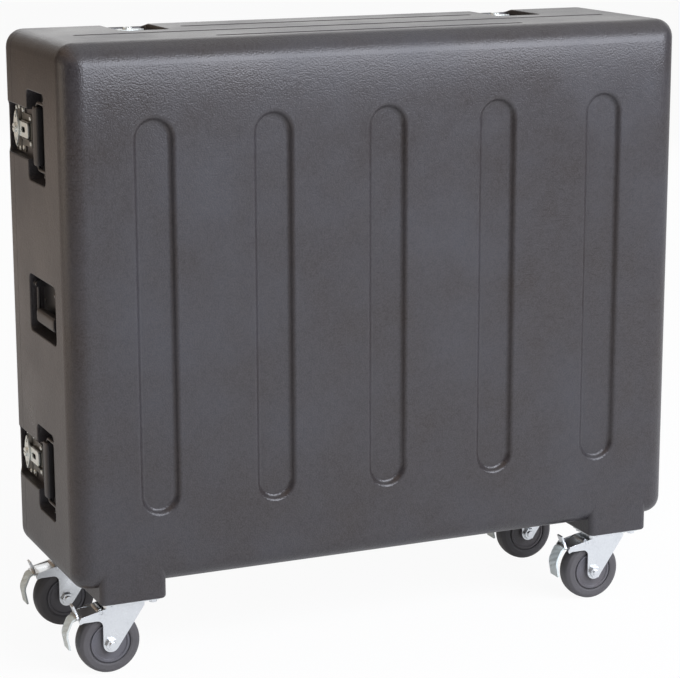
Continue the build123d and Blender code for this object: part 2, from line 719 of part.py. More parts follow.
# Moving parts of each caster, in the XZ plane of the wheel. Points are relative to the axle.
slope_foot = math.radians(fork_foot_angle)
foot_x = fork_foot_radius * math.cos(slope_foot)
foot_z = fork_foot_radius * math.sin(slope_foot)
crown_z = crown_top - wheel_radius
fork_front = (-fork_foot_radius, fork_front_top)
for name, (swivel_x, swivel_y) in caster_places.items():
    axle_x = swivel_x - caster_trail
    axle_z = wheel_radius

    def side_plane(y):
        return Plane(origin=(axle_x, swivel_y + y, axle_z), x_dir=(1, 0, 0), z_dir=(0, -1, 0))

    with BuildPart() as fork:
        for y in (fork_inside + fork_plate, -fork_inside):
            with BuildSketch(side_plane(y)):
                with BuildLine():
                    foot = ThreePointArc(
                        (-fork_foot_radius, 0), (0, -fork_foot_radius), (foot_x, foot_z)
                    )
                    Polyline(
                        foot @ 1, (crown_back, crown_foot_z), (crown_back, crown_z), *fork_shoulder
                    )
                    RadiusArc(fork_shoulder[-1], fork_front, fork_front_arc)
                    Line(fork_front, (-fork_foot_radius, 0))
                make_face()
                Circle(axle_radius + running_play, mode=Mode.SUBTRACT)
                with Locations((pedal_pivot_x, pedal_pivot_z)):
                    Circle(pedal_pin_radius + running_play, mode=Mode.SUBTRACT)
            extrude(amount=fork_plate)
        with BuildSketch(Plane(origin=(swivel_x, swivel_y, crown_top - crown_thickness))):
            with Locations((crown_offset, 0)):
                Rectangle(crown_length, 2 * (fork_inside + fork_plate))
            Circle(kingpin_radius + running_play, mode=Mode.SUBTRACT)
        extrude(amount=crown_thickness)
    save(fork.part, f"caster_fork_{name}")

    with BuildPart() as axle:
        grip_y = fork_inside + fork_plate
        with BuildSketch(side_plane(grip_y)):
            Circle(axle_radius)
        extrude(amount=2 * grip_y)
        for y, amount in ((grip_y, -axle_nut_height), (-grip_y, axle_nut_height)):
            with BuildSketch(side_plane(y)):
                RegularPolygon(axle_nut_across / 2, 6, major_radius=False)
            extrude(amount=amount)
        with BuildSketch(side_plane(-grip_y - axle_nut_height)):
            Circle(axle_end_radius)
        extrude(amount=axle_end_length)
    save(axle.part, f"caster_axle_{name}")

    half = wheel_width / 2
    wheel_axis = Axis((axle_x, swivel_y, axle_z), (0, 1, 0))
    radial = Plane(origin=(axle_x, swivel_y, axle_z), x_dir=(0, 0, 1), z_dir=(1, 0, 0))
    with BuildPart() as tyre:
        with BuildSketch(radial):
            with BuildLine():
                Polyline(
                    (hub_wheel_radius, -half + hub_face_dish),
                    (hub_wheel_radius + tyre_step, -half),
                    (wheel_radius - tread_bevel, -half),
                    (wheel_radius, -half + tread_bevel * 1.6),
                    (wheel_radius, half - tread_bevel * 1.6),
                    (wheel_radius - tread_bevel, half),
                    (hub_wheel_radius + tyre_step, half),
                    (hub_wheel_radius, half - hub_face_dish),
                    close=True,
                )
            make_face()
        revolve(axis=wheel_axis)
    save(tyre.part, f"caster_tyre_{name}")

    with BuildPart() as wheel_hub:
        groove_in = hub_wheel_radius - ring_groove_width
        bore = axle_radius + running_play
        boss_end = fork_inside - hub_boss_play
        face = half - hub_face_inset
        with BuildSketch(radial):
            with BuildLine():
                Polyline(
                    (bore, -boss_end),
                    (hub_boss_radius, -boss_end),
                    (hub_boss_radius, hub_face_dish - face),
                    (groove_in, -face),
                    (groove_in, ring_groove_depth - face),
                    (hub_wheel_radius, ring_groove_depth - face),
                    (hub_wheel_radius, face - ring_groove_depth),
                    (groove_in, face - ring_groove_depth),
                    (groove_in, face),
                    (hub_boss_radius, face - hub_face_dish),
                    (hub_boss_radius, boss_end),
                    (bore, boss_end),
                    close=True,
                )
            make_face()
        revolve(axis=wheel_axis)
    save(wheel_hub.part, f"caster_wheel_hub_{name}")

    with BuildPart() as pedal:
        with BuildSketch(side_plane(pedal_half_width)):
            with BuildLine():
                Polyline((pedal_pivot_x, pedal_pivot_z), *pedal_arm)
            trace(line_width=pedal_sheet)
            with Locations((pedal_pivot_x, pedal_pivot_z)):
                Circle(pedal_eye_radius)
        extrude(amount=2 * pedal_half_width)
        with BuildSketch(side_plane(pad_half_width)):
            with BuildLine():
                FilletPolyline(*pedal_pad, radius=pedal_pad_bend)
            trace(line_width=pedal_sheet)
        extrude(amount=2 * pad_half_width)
        with BuildSketch(side_plane(pedal_tang_half_width)):
            with BuildLine():
                Polyline(*pedal_tang)
            trace(line_width=pedal_sheet)
        extrude(amount=2 * pedal_tang_half_width)
        with BuildSketch(side_plane(fork_inside + fork_plate)):
            with Locations((pedal_pivot_x, pedal_pivot_z)):
                Circle(pedal_pin_radius)
        extrude(amount=2 * (fork_inside + fork_plate))
    save(pedal.part, f"caster_pedal_{name}")
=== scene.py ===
import json
import math

import bmesh
import bpy
import numpy as np
from mathutils import Matrix, Vector

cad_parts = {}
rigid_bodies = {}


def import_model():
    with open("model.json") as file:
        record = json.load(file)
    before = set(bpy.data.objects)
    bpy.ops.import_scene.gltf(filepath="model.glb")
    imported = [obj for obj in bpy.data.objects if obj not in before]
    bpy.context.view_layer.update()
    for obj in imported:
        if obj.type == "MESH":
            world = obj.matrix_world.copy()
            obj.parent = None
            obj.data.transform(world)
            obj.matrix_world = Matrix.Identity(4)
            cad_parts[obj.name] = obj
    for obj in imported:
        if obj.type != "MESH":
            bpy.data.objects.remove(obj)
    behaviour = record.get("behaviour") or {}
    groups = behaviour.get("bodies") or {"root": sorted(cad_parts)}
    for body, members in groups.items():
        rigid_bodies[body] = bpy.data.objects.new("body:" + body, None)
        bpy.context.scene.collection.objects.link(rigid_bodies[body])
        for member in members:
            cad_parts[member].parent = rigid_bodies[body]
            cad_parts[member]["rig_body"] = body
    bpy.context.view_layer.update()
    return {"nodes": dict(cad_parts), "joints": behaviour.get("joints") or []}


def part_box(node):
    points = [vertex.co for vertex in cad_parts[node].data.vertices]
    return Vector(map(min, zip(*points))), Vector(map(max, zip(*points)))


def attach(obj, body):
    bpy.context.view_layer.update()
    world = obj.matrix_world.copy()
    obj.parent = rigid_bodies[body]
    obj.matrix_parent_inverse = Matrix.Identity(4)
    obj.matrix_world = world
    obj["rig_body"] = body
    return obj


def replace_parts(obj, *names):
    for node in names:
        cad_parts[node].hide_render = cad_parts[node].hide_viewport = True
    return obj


# A moulded mixer case on casters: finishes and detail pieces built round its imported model.
# Metres, +Z up, the ribbed face looks towards -Y, the lid is at +Y.

bl_info = {
    "name": "Mixer case",
    "version": (1, 0, 0),
    "blender": (4, 5, 0),
    "location": "View3D > Sidebar > Mixer case",
    "description": "Finishes and detail pieces of a moulded mixer case on casters",
    "category": "Object",
}

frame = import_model()
MM = 0.001
MERGE_DISTANCE = 0.002 * MM
WHITE = (1.0, 1.0, 1.0, 1.0)

# Shade of the moulded plastic where the mottling is low and where it is high
WARM_TINT = (1.1, 0.95, 0.86)
COOL_TINT = (0.92, 1.0, 1.12)

# Places in the node editor
COLUMN_WIDTH = 190
ROW_DROP = 60
ROWS = 5
SHADER_PLACE = (2600, 0)
OUTPUT_PLACE = (2900, 0)

LATCHES = ("top_left", "top_right", "left_upper", "left_lower", "right_upper", "right_lower")
HANDLES = (
    "left_upper", "left_middle", "left_lower", "right_upper", "right_middle", "right_lower",
)
CASTERS = ("front_left", "front_right", "rear_left", "rear_right")


def colour(name, description, default):
    return bpy.props.FloatVectorProperty(
        name=name, description=description, subtype="COLOR", size=3, min=0.0, max=1.0,
        default=default,
    )


def length(name, description, default):
    return bpy.props.FloatProperty(
        name=name, description=description, unit="LENGTH", min=0.0, precision=5, default=default,
    )


def share(name, description, default):
    return bpy.props.FloatProperty(
        name=name, description=description, subtype="FACTOR", min=0.0, max=1.0, default=default,
    )


def watts(name, description, default):
    return bpy.props.FloatProperty(
        name=name, description=description, unit="POWER", min=0.0, default=default,
    )


class ShellSettings(bpy.types.PropertyGroup):
    """Finish of the moulded base and lid"""

    plastic: colour("Plastic", "Colour of the moulded shells", (0.032, 0.0285, 0.0295))
    plastic_worn: colour(
        "Rubbed plastic", "Colour where the shells are rubbed", (0.066, 0.061, 0.062)
    )
    roughness: share("Roughness", "Roughness of the moulded shells", 0.34)
    grain: length("Grain", "Spacing of the fine pebbled grain", 0.0027)
    grain_depth: length("Grain depth", "Depth of the pebbled grain", 0.00044)
    gasket: colour("Gasket", "Colour of the rim gasket", (0.02, 0.02, 0.02))


class FoamSettings(bpy.types.PropertyGroup):
    """Size and finish of the foam lining"""

    foam: colour("Foam", "Colour of the foam", (0.045, 0.045, 0.05))
    wave_pitch: length("Wave pitch", "Distance between the crests of the wavy foam", 0.05)
    wave_depth: length("Wave depth", "Height from the troughs to the crests", 0.016)


class MetalSettings(bpy.types.PropertyGroup):
    """Finish of the latches and other metal parts"""

    zinc: colour("Zinc plate", "Colour of the bright zinc plated steel", (0.82, 0.845, 0.86))
    satin: colour("Satin zinc", "Colour of the satin zinc of the latches", (0.86, 0.9, 0.87))
    # The plates on the pocket floors get a darkened zinc: painted shade of the pocket, the same
    # zinc as the bright parts
    dull: colour("Painted-shade zinc", "Colour of the plates on the pocket floors, darkened as painted shade", (0.2, 0.205, 0.2))
    zinc_roughness: share("Zinc roughness", "Roughness of the zinc plated steel", 0.3)
    black_steel: colour("Black steel", "Colour of the coated steel", (0.022, 0.022, 0.024))
    brass: colour("Brass", "Colour of the threaded inserts", (0.75, 0.55, 0.27))
    edge: length("Edge rounding", "Rounding of the stamped edges", 0.0005)


class HandleSettings(bpy.types.PropertyGroup):
    """Shape and finish of the handle grips"""

    grip: colour("Grip", "Colour of the moulded grips", (0.026, 0.025, 0.026))
    squareness: bpy.props.FloatProperty(
        name="Squareness", description="How square the grip's section is", min=2.0, default=3.4,
    )


class CasterSettings(bpy.types.PropertyGroup):
    """Shape and finish of the wheels and brake pedals"""

    tyre: colour("Tyre", "Colour of the rubber tyre", (0.088, 0.083, 0.086))
    core: colour("Wheel core", "Colour of the wheel core", (0.095, 0.090, 0.094))
    pad: colour("Brake pad", "Colour of the foot pad", (0.60, 0.63, 0.58))
    pad_ribs: bpy.props.IntProperty(
        name="Pad ribs", description="Number of slanted ribs on the foot pad", min=1, default=4,
    )


class StageSettings(bpy.types.PropertyGroup):
    """Camera, floor and lamps"""

    lens: bpy.props.FloatProperty(
        name="Lens", description="Focal length for a 36 mm wide sensor", unit="CAMERA",
        default=119.594,
    )
    floor: colour("Floor", "Colour of the floor", (0.9, 0.9, 0.9))
    warm: colour("Warm side", "Colour of what the left side mirrors", (0.86, 0.58, 0.36))
    daylight: share("Surrounding light", "Strength of the even light on the object", 0.3)
    key: watts("Key lamp", "Power of the large soft lamp in front", 300.0)
    back: watts("Back lamp", "Power of the soft lamp behind", 60.0)
    fill: watts("Fill lamp", "Power of the warm lamp at the left", 28.0)


SETTINGS = {
    "mixer_shell": ShellSettings,
    "mixer_foam": FoamSettings,
    "mixer_metal": MetalSettings,
    "mixer_handle": HandleSettings,
    "mixer_caster": CasterSettings,
    "mixer_stage": StageSettings,
}


class NodeSheet:
    """A node tree that places its nodes from left to right as they are added."""

    def __init__(self, tree):
        self.tree = tree
        self.column = 0

    def add(self, kind, **settings):
        node = self.tree.nodes.new(kind)
        node.location = (self.column * COLUMN_WIDTH, -ROW_DROP * (self.column % ROWS))
        self.column += 1
        for key, value in settings.items():
            setattr(node, key, value)
        return node

    def join(self, source, socket):
        """Links an output to a socket, or sets the socket to a plain value."""
        if isinstance(source, bpy.types.NodeSocket):
            self.tree.links.new(source, socket)
        else:
            socket.default_value = source

    def math(self, operation, first, second):
        node = self.add("ShaderNodeMath", operation=operation)
        self.join(first, node.inputs[0])
        self.join(second, node.inputs[1])
        return node.outputs[0]

    def times(self, first, second):
        return self.math("MULTIPLY", first, second)

    def stretch(self, value, low, high, to_low=0.0, to_high=1.0):
        """Maps low..high to to_low..to_high, and clamps."""
        node = self.add("ShaderNodeMapRange")
        for source, socket in zip((value, low, high, to_low, to_high), node.inputs):
            self.join(source, socket)
        return node.outputs[0]

    def mix(self, factor, first, second):
        node = self.add("ShaderNodeMix", data_type="RGBA")
        self.join(factor, node.inputs[0])
        self.join(first, node.inputs[6])
        self.join(second, node.inputs[7])
        return node.outputs[2]

    def parts(self, vector):
        """The X, Y and Z of a vector."""
        node = self.add("ShaderNodeSeparateXYZ")
        self.join(vector, node.inputs[0])
        return node.outputs

    def noise(self, vector, scale, detail=3.0, roughness=0.55):
        node = self.add("ShaderNodeTexNoise")
        self.join(vector, node.inputs["Vector"])
        self.join(scale, node.inputs["Scale"])
        node.inputs["Detail"].default_value = detail
        node.inputs["Roughness"].default_value = roughness
        return node.outputs["Fac"]

    def cells(self, vector, scale):
        node = self.add("ShaderNodeTexVoronoi", feature="F1")
        self.join(vector, node.inputs["Vector"])
        self.join(scale, node.inputs["Scale"])
        return node.outputs["Distance"]


def emptied_sheet(owner):
    """Turns on the nodes of a material or a world, and empties its tree."""
    owner.use_nodes = True
    owner.node_tree.nodes.clear()
    return NodeSheet(owner.node_tree)


def effect_group(name, inputs, output, build):
    """A node group with a vector, named number inputs and one value output, built once."""
    found = bpy.data.node_groups.get(name)
    if found:
        return found
    tree = bpy.data.node_groups.new(name, "ShaderNodeTree")
    tree.interface.new_socket("Vector", in_out="INPUT", socket_type="NodeSocketVector")
    for label, default in inputs:
        socket = tree.interface.new_socket(label, in_out="INPUT", socket_type="NodeSocketFloat")
        socket.default_value = default
    tree.interface.new_socket(output, in_out="OUTPUT", socket_type="NodeSocketFloat")
    sheet = NodeSheet(tree)
    start = sheet.add("NodeGroupInput")
    result = build(sheet, start.outputs)
    end = sheet.add("NodeGroupOutput")
    tree.links.new(result, end.inputs[0])
    return tree


def pebble_group():
    """Rounded pebbles, one minus the distance to the nearest cell point, over a coarser noise."""
    coarse_ratio = 0.37
    fine_share, coarse_share = 0.6, 0.55

    def build(sheet, inputs):
        rate = sheet.math("DIVIDE", 1.0, inputs["Spacing"])
        coarse_rate = sheet.times(rate, coarse_ratio)
        fine = sheet.math("SUBTRACT", 1.0, sheet.cells(inputs["Vector"], rate))
        coarse = sheet.noise(inputs["Vector"], coarse_rate, detail=2.0)
        weighted = sheet.times(fine, fine_share)
        return sheet.math("ADD", weighted, sheet.times(coarse, coarse_share))

    return effect_group("Pebbled grain", [("Spacing", 0.002)], "Height", build)


def mottle_group():
    """Slow change of shade over a surface, from 0 to 1."""

    def build(sheet, inputs):
        value = sheet.noise(inputs["Vector"], inputs["Scale"], detail=4.0, roughness=0.6)
        return sheet.stretch(value, low=0.32, high=0.68)

    return effect_group("Mottle", [("Scale", 6.0)], "Value", build)


def rub_group():
    """Rubbed patches: the peaks of a coarse noise, broken up by a fine one."""
    fine_ratio = 23.0
    peak, soft_edge = 0.78, 0.16

    def build(sheet, inputs):
        coarse = sheet.noise(inputs["Vector"], inputs["Scale"], detail=5.0, roughness=0.7)
        fine = sheet.noise(inputs["Vector"], sheet.times(inputs["Scale"], fine_ratio))
        start = sheet.math("SUBTRACT", peak, inputs["Amount"])
        end = sheet.math("ADD", start, soft_edge)
        patch = sheet.stretch(coarse, start, end)
        return sheet.times(patch, sheet.stretch(fine, low=0.4, high=0.65))

    return effect_group("Rubbed patches", [("Scale", 9.0), ("Amount", 0.2)], "Mask", build)


class Finish:
    """One material with a Principled shader, object coordinates and a bump at the end."""

    def __init__(self, name):
        self.material = bpy.data.materials.new(name)
        self.sheet = emptied_sheet(self.material)
        self.point = self.sheet.add("ShaderNodeTexCoord").outputs["Object"]
        nodes = self.material.node_tree.nodes
        self.shader = nodes.new("ShaderNodeBsdfPrincipled")
        self.shader.location = SHADER_PLACE
        out = nodes.new("ShaderNodeOutputMaterial")
        out.location = OUTPUT_PLACE
        self.sheet.join(self.shader.outputs[0], out.inputs[0])

    def effect(self, group, **values):
        node = self.sheet.add("ShaderNodeGroup")
        node.node_tree = group
        self.sheet.join(self.point, node.inputs["Vector"])
        for key, value in values.items():
            self.sheet.join(value, node.inputs[key])
        return node.outputs[0]

    def set(self, **values):
        for key, value in values.items():
            self.sheet.join(value, self.shader.inputs[key.replace("_", " ")])
        return self

    def bump(self, height, distance, strength=1.0):
        node = self.sheet.add("ShaderNodeBump")
        node.inputs["Strength"].default_value = strength
        node.inputs["Distance"].default_value = distance
        self.sheet.join(height, node.inputs["Height"])
        self.sheet.join(node.outputs[0], self.shader.inputs["Normal"])
        return self


def rgba(values, factor=1.0):
    return (*[min(1.0, value * factor) for value in values], 1.0)


def crown_group():
    """Height of a face that falls away towards its top. Below a level the drop fades out as
    e to the minus depth over reach. Above it, the face slopes on in a straight line."""

    def build(sheet, inputs):
        depth = sheet.math("SUBTRACT", inputs["Top"], sheet.parts(inputs["Vector"])["Z"])
        depth = sheet.math("DIVIDE", depth, inputs["Reach"])
        below = sheet.math("MAXIMUM", depth, 0.0)
        above = sheet.math("MAXIMUM", sheet.times(depth, -1.0), 0.0)
        fall = sheet.math("POWER", math.e, sheet.times(below, -1.0))
        total = sheet.math("ADD", fall, above)
        return sheet.times(total, sheet.times(inputs["Drop"], -1.0))

    values = [("Top", 0.95), ("Reach", 0.06), ("Drop", 0.013)]
    return effect_group("Crowned face", values, "Height", build)


def plastic_finish(name, base, worn, roughness, spacing, depth, rubbed=0.16, crown=None):
    """Moulded plastic: pebbled grain, slow mottling and a few rubbed patches."""
    finish = Finish(name)
    sheet = finish.sheet
    grain = finish.effect(pebble_group(), Spacing=spacing)
    mottle = finish.effect(mottle_group(), Scale=5.0)
    rub = finish.effect(rub_group(), Scale=7.0, Amount=rubbed)
    warm = [value * factor for value, factor in zip(base, WARM_TINT)]
    cool = [value * factor for value, factor in zip(base, COOL_TINT)]
    shade = sheet.mix(mottle, rgba(warm, factor=0.75), rgba(cool, factor=1.3))
    speck = sheet.stretch(grain, low=0.3, high=0.95, to_high=0.65)
    shade = sheet.mix(speck, shade, rgba(worn))
    rub_colour, rub_polish, uneven = 0.5, 0.08, 0.06
    shade = sheet.mix(sheet.times(rub, rub_colour), shade, rgba(worn))
    dull = sheet.stretch(mottle, 0.0, 1.0, roughness - uneven, roughness + uneven)
    dull = sheet.math("SUBTRACT", dull, sheet.times(rub, rub_polish))
    finish.set(Base_Color=shade, Roughness=dull)
    if crown is None:
        return finish.bump(grain, depth).material
    height = sheet.times(grain, depth)
    bulge = finish.effect(crown_group(), Top=crown)
    return finish.bump(sheet.math("ADD", height, bulge), distance=1.0).material


def zinc_finish(name, base, roughness, metallic=1.0):
    """Bright zinc plate: metal with faint spangles and a slightly uneven shine."""
    finish = Finish(name)
    sheet = finish.sheet
    spangle = sheet.cells(finish.point, scale=260.0)
    mottle = finish.effect(mottle_group(), Scale=38.0)
    tone = sheet.times(spangle, mottle)
    shade = sheet.mix(tone, rgba(base), rgba(base, factor=0.88))
    shinier, duller = 0.06, 0.1
    dull = sheet.stretch(mottle, 0.0, 1.0, roughness - shinier, roughness + duller)
    finish.set(Base_Color=shade, Roughness=dull, Metallic=metallic)
    return finish.bump(mottle, distance=0.04 * MM).material


def painted_finish(name, base):
    """Coated steel: a fine orange peel and chips of bare metal colour on a few spots."""
    finish = Finish(name)
    sheet = finish.sheet
    peel = sheet.noise(finish.point, scale=900.0, detail=2.0)
    chip, chip_share = (0.14, 0.14, 0.145, 1.0), 0.6
    rub = finish.effect(rub_group(), Scale=60.0, Amount=0.14)
    shade = sheet.mix(sheet.times(rub, chip_share), rgba(base), chip)
    dull = sheet.stretch(peel, low=0.3, high=0.7, to_low=0.32, to_high=0.44)
    finish.set(Base_Color=shade, Roughness=dull, Coat_Weight=0.25)
    return finish.bump(peel, distance=0.06 * MM).material


def rubber_finish(name, base, roughness):
    """Moulded rubber: even, slightly dusty, with a very fine grain."""
    finish = Finish(name)
    sheet = finish.sheet
    grain = finish.effect(pebble_group(), Spacing=1.1 * MM)
    dust = finish.effect(mottle_group(), Scale=32.0)
    rub = finish.effect(rub_group(), Scale=45.0, Amount=0.2)
    dust_share, rub_share = 0.6, 0.3
    clean, dusty = rgba(base, factor=0.92), rgba(base, factor=1.15)
    shade = sheet.mix(sheet.times(dust, dust_share), clean, dusty)
    shade = sheet.mix(sheet.times(rub, rub_share), shade, rgba(base, factor=1.7))
    shinier, duller = 0.05, 0.08
    dull = sheet.stretch(dust, 0.0, 1.0, roughness - shinier, roughness + duller)
    finish.set(Base_Color=shade, Roughness=dull)
    return finish.bump(grain, distance=0.06 * MM).material


def foam_finish(name, base):
    """Closed cell foam: dull, with small open cells all over, their hollows darkened as painted
    shade.
    """
    finish = Finish(name)
    sheet = finish.sheet
    cells = sheet.cells(finish.point, scale=620.0)
    mottle = finish.effect(mottle_group(), Scale=14.0)
    shaded_hollow, wall, mottle_share = rgba(base, factor=0.65), rgba(base, factor=1.25), 0.3
    # Painted shade: darker in the hollows of the cells, lighter on their walls
    shade = sheet.mix(sheet.stretch(cells, low=0.1, high=0.7), shaded_hollow, wall)
    shade = sheet.mix(sheet.times(mottle, mottle_share), shade, rgba(base, factor=1.5))
    finish.set(Base_Color=shade, Roughness=0.95)
    return finish.bump(cells, distance=0.4 * MM, strength=0.8).material


def brass_finish(name, base):
    """Turned brass with faint tool marks."""
    finish = Finish(name)
    sheet = finish.sheet
    mark = sheet.noise(finish.point, scale=700.0, detail=2.0)
    shade = sheet.mix(mark, rgba(base, factor=0.85), rgba(base))
    dull = sheet.stretch(mark, low=0.3, high=0.7, to_low=0.28, to_high=0.4)
    finish.set(Base_Color=shade, Roughness=dull, Metallic=1.0)
    return finish.bump(mark, distance=0.03 * MM).material


def paint(node_object, material):
    node_object.data.materials.clear()
    node_object.data.materials.append(material)


def finished(mesh, name, material, body, smooth_angle=38.0):
    """Makes an object of a mesh, with its material and its body."""
    mesh.materials.clear()
    mesh.materials.append(material)
    mesh.shade_smooth()
    mesh.set_sharp_from_angle(angle=math.radians(smooth_angle))
    piece = bpy.data.objects.new(name, mesh)
    bpy.context.scene.collection.objects.link(piece)
    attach(piece, body)
    return piece


def body_of_node(node):
    return frame["nodes"][node]["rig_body"]


def dressed(node, material, edge):
    """A copy of a rigid solid's mesh with its doubles merged and its sharp edges rounded."""
    flat_angle, sharp_angle = math.radians(0.4), math.radians(35)
    mesh = frame["nodes"][node].data.copy()
    shape = bmesh.new()
    shape.from_mesh(mesh)
    bmesh.ops.remove_doubles(shape, verts=shape.verts, dist=MERGE_DISTANCE)
    bmesh.ops.dissolve_limit(
        shape, angle_limit=flat_angle, verts=shape.verts, edges=shape.edges
    )
    shape.to_mesh(mesh)
    shape.free()
    for layer in list(mesh.attributes):
        if layer.name == "custom_normal":
            mesh.attributes.remove(layer)
    piece = finished(mesh, f"{node}.finished", material, body_of_node(node))
    if edge > 0:
        bevel = piece.modifiers.new("Rounded edges", "BEVEL")
        bevel.width = edge
        bevel.segments = 2
        bevel.limit_method = "ANGLE"
        bevel.angle_limit = sharp_angle
        bevel.use_clamp_overlap = True
        bevel.harden_normals = True
    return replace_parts(piece, node)


def quads_between(index):
    """The corners of the quads between the neighbours in a grid of point numbers."""
    return np.stack(
        [index[:-1, :-1], index[1:, :-1], index[1:, 1:], index[:-1, 1:]], axis=-1
    ).reshape(-1, 4)


def outward_mesh(name, points, faces, merge):
    """A mesh whose faces look outwards, with its doubles merged if asked."""
    mesh = bpy.data.meshes.new(name)
    mesh.from_pydata(points.tolist(), [], faces)
    shape = bmesh.new()
    shape.from_mesh(mesh)
    if merge:
        bmesh.ops.remove_doubles(shape, verts=shape.verts, dist=MERGE_DISTANCE)
    bmesh.ops.recalc_face_normals(shape, faces=shape.faces)
    shape.to_mesh(mesh)
    shape.free()
    return mesh


def stations(path):
    """The distance along a path from its start to each of its points."""
    return np.concatenate([[0], np.cumsum(np.linalg.norm(np.diff(path, axis=0), axis=1))])


def grid_mesh(name, points, wrap_u=False, wrap_v=False, close_ends=False):
    """Quads over a grid of points[u, v, xyz]. Each direction may wrap, and open u ends
    may each be closed by a face."""
    rows, columns = points.shape[:2]
    index = np.arange(rows * columns).reshape(rows, columns)
    if wrap_u:
        index = np.vstack([index, index[:1]])
    if wrap_v:
        index = np.hstack([index, index[:, :1]])
    faces = quads_between(index).tolist()
    if close_ends:
        faces += [index[0, :columns].tolist(), index[-1, :columns][::-1].tolist()]
    return outward_mesh(name, points.reshape(-1, 3), faces, merge=True)


def rounded_outline(corners, radii, steps=6, closed=True):
    """A polyline whose corners are arcs. Each arc runs between the points where a circle
    touches both sides."""
    corners = np.asarray(corners, float)
    count = len(corners)
    pieces = []
    for i in range(count):
        here = corners[i]
        if not closed and i in (0, count - 1) or radii[i] <= 0:
            pieces.append(here[None])
            continue
        back = corners[i - 1] - here
        ahead = corners[(i + 1) % count] - here
        back /= np.linalg.norm(back)
        ahead /= np.linalg.norm(ahead)
        half = math.acos(np.clip(back @ ahead, -1, 1)) / 2
        cut = radii[i] / math.tan(half)
        middle = back + ahead
        middle /= np.linalg.norm(middle)
        centre = here + middle * radii[i] / math.sin(half)
        start, end = here + back * cut - centre, here + ahead * cut - centre
        sweep = math.atan2(start[0] * end[1] - start[1] * end[0], start @ end)
        turn = np.linspace(0, sweep, steps)[:, None]
        normal = np.array([-start[1], start[0]])
        pieces.append(centre + start * np.cos(turn) + normal * np.sin(turn))
    return np.vstack(pieces)


def lathe(name, centre, outline, segments=96):
    """A closed outline of (radius, offset along Y) turned about the Y axis through a centre."""
    outline = np.asarray(outline, float)
    turn = np.linspace(0, 2 * math.pi, segments, endpoint=False)[:, None]
    radius, offset = outline[:, 0][None], outline[:, 1][None]
    points = np.stack(
        [
            centre[0] + radius * np.cos(turn),
            centre[1] + offset + 0 * turn,
            centre[2] + radius * np.sin(turn),
        ],
        axis=-1,
    )
    return grid_mesh(name, points, wrap_u=True, wrap_v=True)


def strip(name, centre, path, half_width, thickness, raised=None, across=25):
    """A bent strip: a path in X and Z given a thickness inwards and a width along Y.
    raised(distance, y) adds a height on the outer side, which is the path's left. The height
    fades out at both edges."""
    fade = 0.8 * MM
    path = np.asarray(path, float)
    ahead = np.gradient(path, axis=0)
    ahead /= np.linalg.norm(ahead, axis=1)[:, None]
    outside = np.stack([-ahead[:, 1], ahead[:, 0]], axis=1)
    distance = stations(path)
    width = np.linspace(-half_width, half_width, across)
    height = raised(distance[:, None], width[None]) if raised else np.zeros((len(path), across))
    edge = np.minimum(1, (half_width - np.abs(width)) / fade)
    level = thickness / 2 + height * np.sin(edge * math.pi / 2)
    outer = path[:, None] + outside[:, None] * level[..., None]
    inner = path[:, None] - outside[:, None] * thickness / 2 + 0 * level[..., None]
    loop = np.concatenate([outer, inner[:, ::-1]], axis=1)
    sideways = np.concatenate([width, width[::-1]])
    points = np.stack(
        [
            centre[0] + loop[..., 0],
            centre[1] + sideways[None] + 0 * loop[..., 0],
            centre[2] + loop[..., 1],
        ],
        axis=-1,
    )
    return grid_mesh(name, points, wrap_v=True, close_ends=True)


def rounded_square(across_x, across_z, half_x, half_z, corner):
    """Spreads points of -1..1 over a rectangle, and rounds its corners by mapping each
    corner square to a quarter disc."""
    x, z = across_x * half_x, across_z * half_z
    over_x = np.maximum(0, np.abs(x) - (half_x - corner)) / corner
    over_z = np.maximum(0, np.abs(z) - (half_z - corner)) / corner
    round_x = over_x * np.sqrt(1 - over_z**2 / 2)
    round_z = over_z * np.sqrt(1 - over_x**2 / 2)
    x = np.sign(x) * (np.minimum(np.abs(x), half_x - corner) + corner * round_x)
    z = np.sign(z) * (np.minimum(np.abs(z), half_z - corner) + corner * round_z)
    return x, z


def wavy_pad(name, low, high, crest_y, back_y, settings, corner):
    """A foam pad whose face lies depth/2 * (1 - sin(kx) * sin(kz)) behind its crests, with
    flat sides and a flat back."""
    steps_per_wave = 9
    step = settings.wave_pitch / steps_per_wave
    half_x, half_z = (high[0] - low[0]) / 2, (high[2] - low[2]) / 2
    count_x, count_z = int(2 * half_x / step), int(2 * half_z / step)
    u, v = np.meshgrid(np.linspace(-1, 1, count_x), np.linspace(-1, 1, count_z), indexing="ij")
    x, z = rounded_square(u, v, half_x, half_z, corner)
    rate = 2 * math.pi / settings.wave_pitch
    wave = 0.5 - 0.5 * np.sin(x * rate) * np.sin(z * rate)
    way = 1 if back_y > crest_y else -1
    y = crest_y + way * settings.wave_depth * wave
    middle_x, middle_z = (high[0] + low[0]) / 2, (high[2] + low[2]) / 2
    face = np.stack([middle_x + x, y, middle_z + z], axis=-1)
    index = np.arange(count_x * count_z).reshape(count_x, count_z)
    rim = np.concatenate([index[:-1, 0], index[-1, :-1], index[:0:-1, -1], index[0, :0:-1]])
    front = face.reshape(-1, 3)
    back = front[rim].copy()
    back[:, 1] = back_y
    ring = len(front) + np.arange(len(rim))
    sides = np.stack([rim, np.roll(rim, -1), np.roll(ring, -1), ring], axis=-1)
    faces = quads_between(index).tolist() + sides.tolist() + [ring.tolist()]
    return outward_mesh(name, np.vstack([front, back]), faces, merge=False)


def rounded_rectangle(half_x, half_z, corner, steps=10):
    corners = [(half_x, half_z), (-half_x, half_z), (-half_x, -half_z), (half_x, -half_z)]
    return rounded_outline(corners, [corner] * 4, steps)


